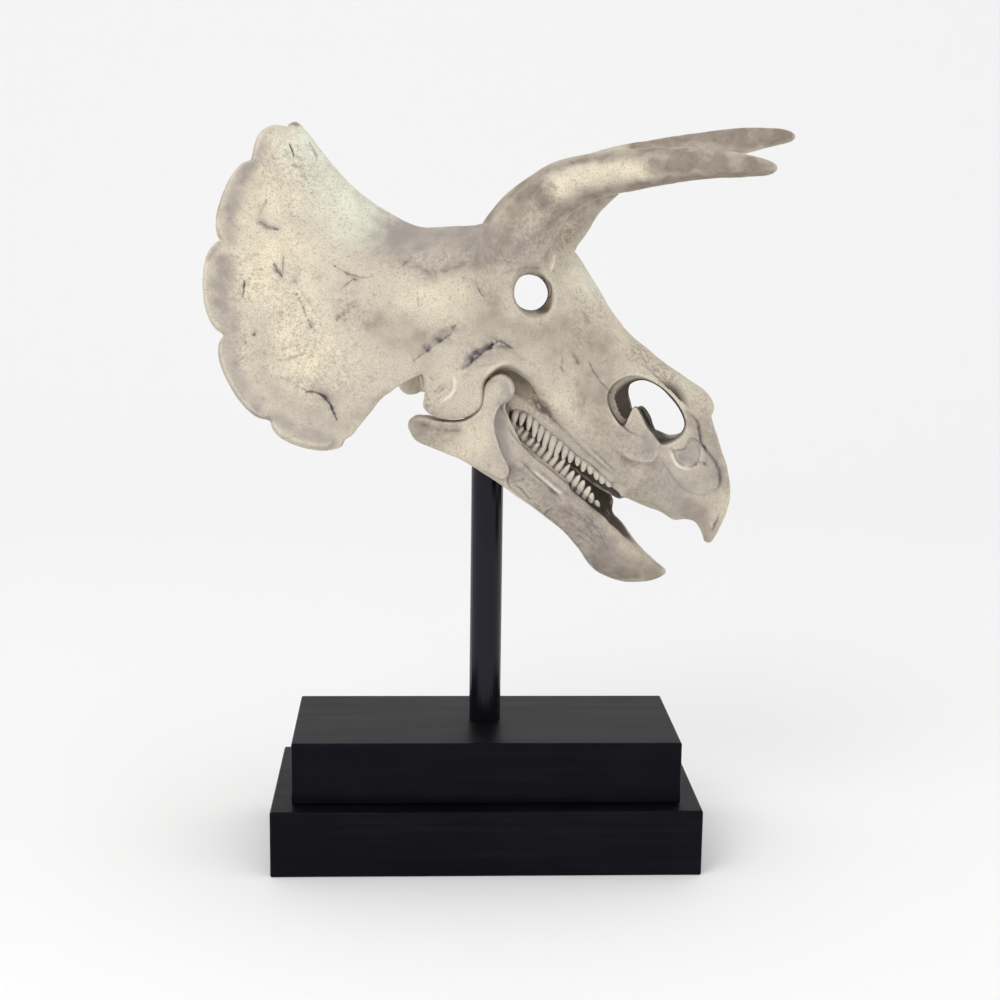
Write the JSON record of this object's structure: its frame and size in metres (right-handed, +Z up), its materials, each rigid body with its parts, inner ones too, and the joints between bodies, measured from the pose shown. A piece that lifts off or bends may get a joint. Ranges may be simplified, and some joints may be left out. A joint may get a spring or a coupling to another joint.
{
  "type": "triceratops skull replica on stand",
  "caption": "Cast three-horned dinosaur skull with a scalloped neck shield and open beak, on an upright tube over a black stepped plinth.",
  "frame": {"origin": "middle of the plinth's underside", "axes": "+Z up, +X along the plinth's long side towards the end the beak points at, +Y to the skull's left"},
  "size_m": [0.507, 0.3607, 0.6487],
  "materials": {
    "bone": "matt cast resin, cream with brown-grey stains",
    "plinth_paint": "rolled black satin paint on board",
    "rod_paint": "black satin paint on steel tube"
  },
  "bodies": {
    "root": {"cranium": "bone", "snout": "bone", "upper_beak": "bone", "horn_right": "bone", "horn_left": "bone", "cheek_right": "bone", "cheek_left": "bone", "occipital_condyle": "bone", "frill_middle": "bone", "frill_right": "bone", "frill_left": "bone", "lower_jaw_right": "bone", "lower_jaw_left": "bone", "lower_beak": "bone", "stand_tier_lower": "plinth_paint", "stand_tier_upper": "plinth_paint", "stand_rod": "rod_paint"}
  },
  "joints": []
}
